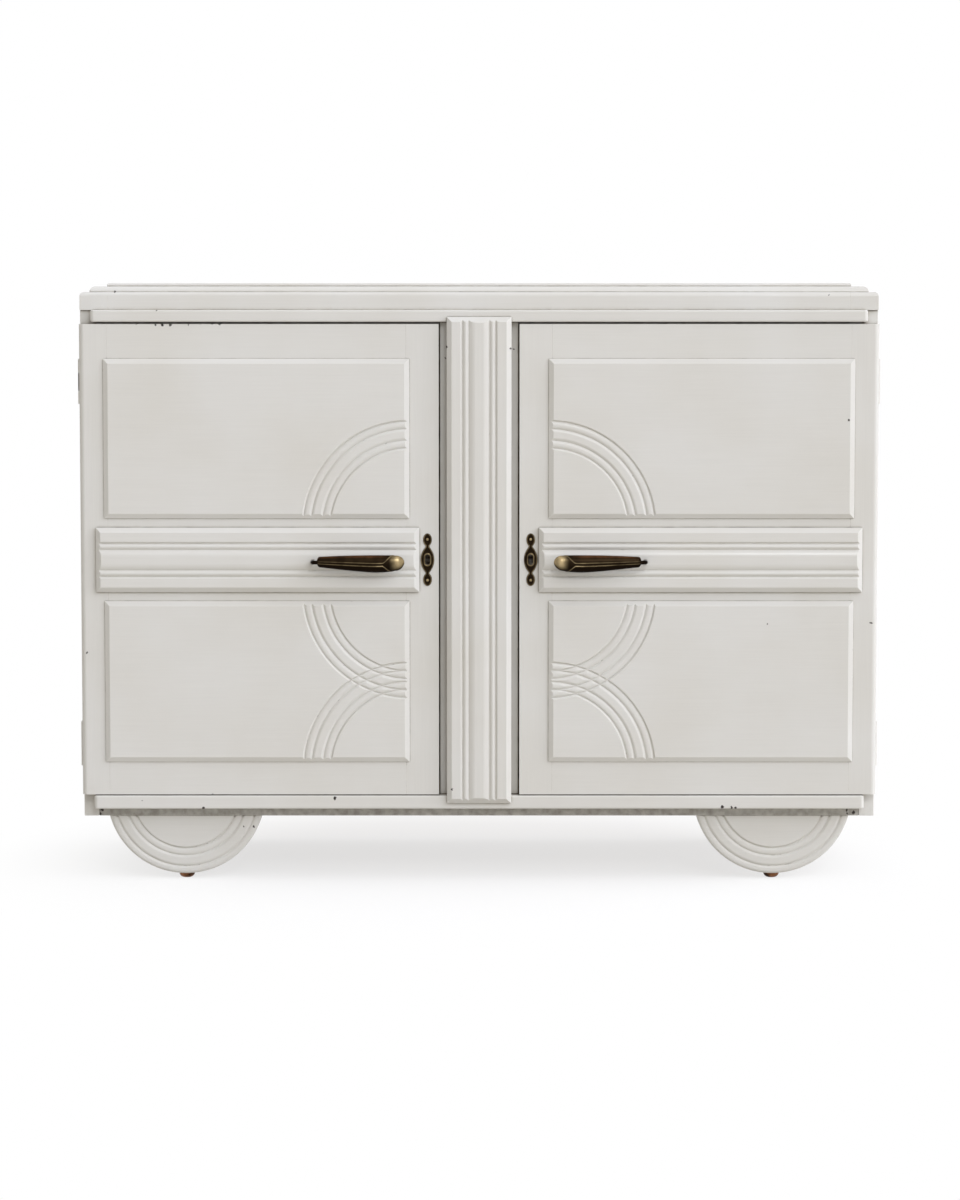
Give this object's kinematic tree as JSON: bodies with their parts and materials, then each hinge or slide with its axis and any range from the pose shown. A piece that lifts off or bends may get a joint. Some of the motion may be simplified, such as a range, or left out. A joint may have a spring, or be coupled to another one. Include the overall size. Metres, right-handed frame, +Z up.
{
  "type": "two-door sideboard",
  "caption": "Painted Art Deco sideboard: hinged doors with carved raised panels either side of a reeded post, stepped top, half-disc feet, bow pulls and rim locks.",
  "frame": {"origin": "on the floor under the middle of the bounding box", "axes": "+X to the right as seen from the front, +Y to the back, +Z up"},
  "size_m": [1.157, 0.463, 0.8662],
  "materials": {
    "paint": "worn off-white oil paint on wood",
    "bare_wood": "unpainted planed softwood",
    "bronze_brass": "dark patinated cast brass",
    "glide_brass": "worn coppery plating",
    "hinge_steel": "dark oxidised steel",
    "lock_steel": "dull steel"
  },
  "bodies": {
    "cabinet": {"left_side": "paint", "right_side": "paint", "centre_post": "paint", "post_moulding": "paint", "top_strip": "paint", "bottom_strip": "paint", "front_base_rail": "paint", "front_top_rail": "paint", "top_board": "paint", "top_end_clamps": "paint", "top_middle_tier": "paint", "top_upper_tier": "paint", "left_front_foot": "paint", "right_front_foot": "paint", "left_rear_foot": "paint", "right_rear_foot": "paint", "bottom_board": "bare_wood", "centre_partition": "bare_wood", "back_top_rail": "bare_wood", "back_base_rail": "bare_wood", "back_panel": "bare_wood", "left_shelf": "bare_wood", "right_shelf": "bare_wood", "shelf_cleats": "bare_wood", "foot_blocks": "bare_wood", "foot_glides": "glide_brass", "carcass_hinge_leaves": "hinge_steel", "hinge_pins": "hinge_steel", "strike_plates": "lock_steel", "carcass_screws": "lock_steel"},
    "left_door": {"left_door_hinge_stile": "paint", "left_door_lock_stile": "paint", "left_door_top_rail": "paint", "left_door_middle_rail": "paint", "left_door_bottom_rail": "paint", "left_door_upper_panel": "paint", "left_door_lower_panel": "paint", "left_door_band": "paint", "left_door_hinge_leaves": "hinge_steel", "left_door_screws": "lock_steel", "left_door_pull": "bronze_brass", "left_escutcheon": "bronze_brass", "left_escutcheon_pins": "bronze_brass", "left_lock_case": "lock_steel"},
    "left_bolt": {"left_lock_bolt": "lock_steel"},
    "right_door": {"right_door_hinge_stile": "paint", "right_door_lock_stile": "paint", "right_door_top_rail": "paint", "right_door_middle_rail": "paint", "right_door_bottom_rail": "paint", "right_door_upper_panel": "paint", "right_door_lower_panel": "paint", "right_door_band": "paint", "right_door_hinge_leaves": "hinge_steel", "right_door_screws": "lock_steel", "right_door_pull": "bronze_brass", "right_escutcheon": "bronze_brass", "right_escutcheon_pins": "bronze_brass", "right_lock_case": "lock_steel"},
    "right_bolt": {"right_lock_bolt": "lock_steel"}
  },
  "joints": [
    {"name": "left_door_hinge", "type": "hinge", "parent": "cabinet", "child": "left_door", "pos_m": [-0.5755, -0.169, 0.46695], "axis": [0, 0, -1], "range_deg": [0, 180]},
    {"name": "left_lock_slide", "type": "slide", "parent": "left_door", "child": "left_bolt", "axis": [1, 0, 0], "range_m": [0, 0.008]},
    {"name": "right_door_hinge", "type": "hinge", "parent": "cabinet", "child": "right_door", "pos_m": [0.5755, -0.169, 0.46695], "axis": [0, 0, 1], "range_deg": [0, 180]},
    {"name": "right_lock_slide", "type": "slide", "parent": "right_door", "child": "right_bolt", "axis": [-1, 0, 0], "range_m": [0, 0.008]}
  ]
}
